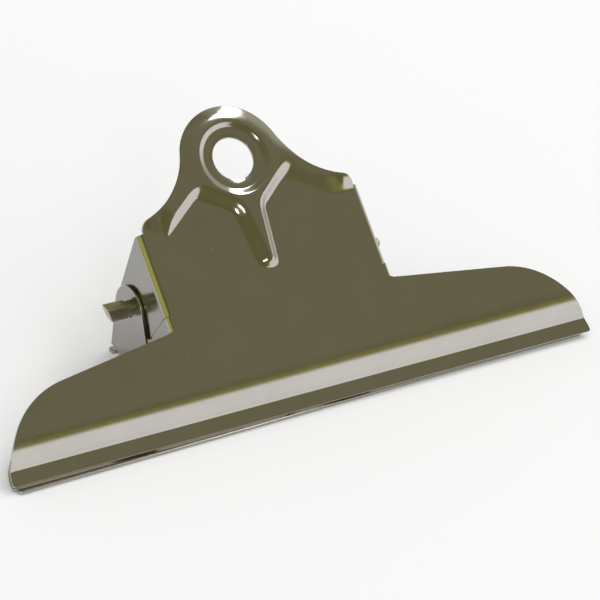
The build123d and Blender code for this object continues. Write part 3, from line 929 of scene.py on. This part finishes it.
# The sideways faces' nickel, darkened to paint shade on them
shaded_side_nickel = plated("nickel_sides_painted_shade", SHADED_SIDE_PALE, SHADED_SIDE_DEEP, roughness=(0.14, 0.22), ripple=0.03)
for piece in (front, base):
    piece.data.materials.append(shaded_side_nickel)
pin.data.materials.append(
    plated("nickel_pin", PIN_PALE, PIN_DEEP, roughness=(0.42, 0.56), ripple=0.10)
)
spring.data.materials.append(drawn_wire("spring_steel"))

# Pale floor, in metres, just below the clip's underside
FLOOR_HALF, FLOOR_DROP = 3.0, 0.0001
FLOOR_CORNERS = ((-1, -1), (1, -1), (1, 1), (-1, 1))
floor_mesh = bpy.data.meshes.new("floor")
floor_mesh.from_pydata(
    [(sx * FLOOR_HALF, sy * FLOOR_HALF, -FLOOR_DROP) for sx, sy in FLOOR_CORNERS],
    [], [(0, 1, 2, 3)],
)
floor = linked("floor", floor_mesh)
floor_material, floor_tree, floor_shader, floor_place = surface("floor_paper")
floor_shader.inputs["Roughness"].default_value = 0.9
floor_shader.inputs["Specular IOR Level"].default_value = 0.0
floor_tone = noise(floor_tree, floor_place, scale=2.0, detail=2.0)
floor_tree.links.new(
    levels(floor_tree, floor_tone, (0.3, 0.955), (0.7, 0.975)), floor_shader.inputs["Base Color"]
)
floor_mesh.materials.append(floor_material)

# Camera at the photograph's viewing angle, in degrees and metres
CAMERA_AZIMUTH, CAMERA_ELEVATION, CAMERA_ROLL = -36.13, 32.79, 7.276
CAMERA_DISTANCE, CAMERA_FAR = 0.82352, 20.0
CAMERA_TARGET = Vector((0.01281, -0.00500, 0.008906))
CAMERA_LENS, CAMERA_SENSOR = 217.16, 36.0

azimuth = math.radians(CAMERA_AZIMUTH)
elevation = math.radians(CAMERA_ELEVATION)
roll = math.radians(CAMERA_ROLL)
back = Vector((
    math.sin(azimuth) * math.cos(elevation),
    -math.cos(azimuth) * math.cos(elevation),
    math.sin(elevation),
))
level_right = (-back).cross(Vector((0, 0, 1))).normalized()
level_up = level_right.cross(-back)
right = level_right * math.cos(roll) + level_up * math.sin(roll)
up = level_up * math.cos(roll) - level_right * math.sin(roll)
eye = CAMERA_TARGET + back * CAMERA_DISTANCE
camera_data = bpy.data.cameras.new("camera")
camera_data.lens = CAMERA_LENS
camera_data.sensor_width = CAMERA_SENSOR
camera_data.clip_end = CAMERA_FAR
camera = linked("camera", camera_data)
camera.matrix_world = Matrix((
    (right.x, up.x, back.x, eye.x),
    (right.y, up.y, back.y, eye.y),
    (right.z, up.z, back.z, eye.z),
    (0, 0, 0, 1),
))
bpy.context.scene.camera = camera
bpy.context.scene.view_settings.view_transform = "Standard"

# Room: a white card low on the right, a warm and a pale patch, and a dim olive room elsewhere
world = bpy.data.worlds.new("world")
bpy.context.scene.world = world
world.use_nodes = True
sky = world.node_tree
direction = node(sky, "ShaderNodeTexCoord").outputs["Generated"]
split = node(sky, "ShaderNodeSeparateXYZ")
sky.links.new(direction, split.inputs["Vector"])
SKY_LOW, SKY_SPAN = -0.25, 1.25
# Diffuse light comes from a plain grey room, so that the floor stays neutral
ROOM_LIGHT = (0.80, 0.80, 0.80)
# Colours by elevation in degrees, on the card's side and elsewhere
CARD_SKY = (
    (-10, (1.0, 1.0, 1.0)), (24, (1.0, 1.0, 1.0)), (27, (0.551, 0.521, 0.364)),
    (29, (0.285, 0.279, 0.077)), (33, (0.257, 0.251, 0.082)), (37, (0.185, 0.177, 0.096)),
    (45, (0.233, 0.219, 0.132)), (53, (0.220, 0.208, 0.126)), (90, (0.228, 0.214, 0.132)),
)
ROOM_SKY = (
    (-10, (0.285, 0.270, 0.182)), (8, (0.209, 0.195, 0.091)), (20, (0.180, 0.167, 0.064)),
    (35, (0.171, 0.158, 0.064)), (45, (0.171, 0.160, 0.068)), (62, (0.180, 0.169, 0.077)),
    (90, (0.228, 0.214, 0.132)),
)
CARD_START, CARD_START_FADE = math.radians(19.0), (-0.05, 0.09)
CARD_END, CARD_END_FADE = math.radians(116.0), (-0.08, 0.12)
WARM_SIDE, WARM_COLOUR, WARM_FADE = (-0.85, -0.18, 0.49), (0.52, 0.52, 0.15), (0.78, 0.92)
PALE_SIDE, PALE_COLOUR, PALE_FADE = (0.76, 0.45, 0.46), (0.50, 0.49, 0.40), (0.72, 0.96)


def sky_ramp(stops):
    height = maths(sky, "MULTIPLY", split.outputs["Z"], 1 / SKY_SPAN)
    height = maths(sky, "ADD", height, -SKY_LOW / SKY_SPAN)
    return colours(sky, height, *(
        ((math.sin(math.radians(e)) - SKY_LOW) / SKY_SPAN, colour) for e, colour in stops
    ))


def towards(way, fade):
    """From 0 to 1 as the direction's share along a way crosses the fade."""
    along = node(sky, "ShaderNodeVectorMath", operation="DOT_PRODUCT")
    sky.links.new(direction, along.inputs[0])
    along.inputs[1].default_value = Vector(way).normalized()
    graded = node(sky, "ShaderNodeMapRange", interpolation_type="SMOOTHSTEP")
    sky.links.new(along.outputs["Value"], graded.inputs["Value"])
    graded.inputs["From Min"].default_value, graded.inputs["From Max"].default_value = fade
    return graded.outputs["Result"]


card = maths(
    sky, "MULTIPLY",
    towards((math.cos(CARD_START), math.sin(CARD_START), 0), CARD_START_FADE),
    towards((-math.cos(CARD_END), -math.sin(CARD_END), 0), CARD_END_FADE),
)
diffuse = node(sky, "ShaderNodeLightPath").outputs["Is Diffuse Ray"]
sky_colour = mixed(sky, sky_ramp(ROOM_SKY), sky_ramp(CARD_SKY), card)
sky_colour = mixed(sky, sky_colour, WARM_COLOUR, towards(WARM_SIDE, WARM_FADE))
sky_colour = mixed(sky, sky_colour, PALE_COLOUR, towards(PALE_SIDE, PALE_FADE))
sky_colour = mixed(sky, sky_colour, ROOM_LIGHT, diffuse)
sky.links.new(sky_colour, sky.nodes["Background"].inputs["Color"])

# Two soft white lamps that face the clip, in metres
LAMP_DISTANCE = 1.6


def softbox(name, aim, along, width, length, radiance):
    """A flat lamp on the aim's side, with its length along a given way."""
    lamp_data = bpy.data.lights.new(name, "AREA")
    lamp_data.shape = "RECTANGLE"
    lamp_data.size = width
    lamp_data.size_y = length
    lamp_data.energy = radiance * math.pi * width * length
    lamp = linked(name, lamp_data)
    way = Vector(aim).normalized()
    lengthwise = Vector(along)
    lengthwise = (lengthwise - way * lengthwise.dot(way)).normalized()
    turn = Matrix((lengthwise.cross(way), lengthwise, way)).transposed().to_4x4()
    lamp.matrix_world = Matrix.Translation(way * LAMP_DISTANCE) @ turn


softbox(
    "softbox_top", aim=(0.58, 0.17, 0.79), along=(0.20, 0.56, -0.26),
    width=0.31, length=1.05, radiance=5.6,
)
softbox(
    "window_front", aim=(-0.314, -0.777, 0.545), along=(0.0, 0.5, 0.8),
    width=0.13, length=0.42, radiance=8.0,
)
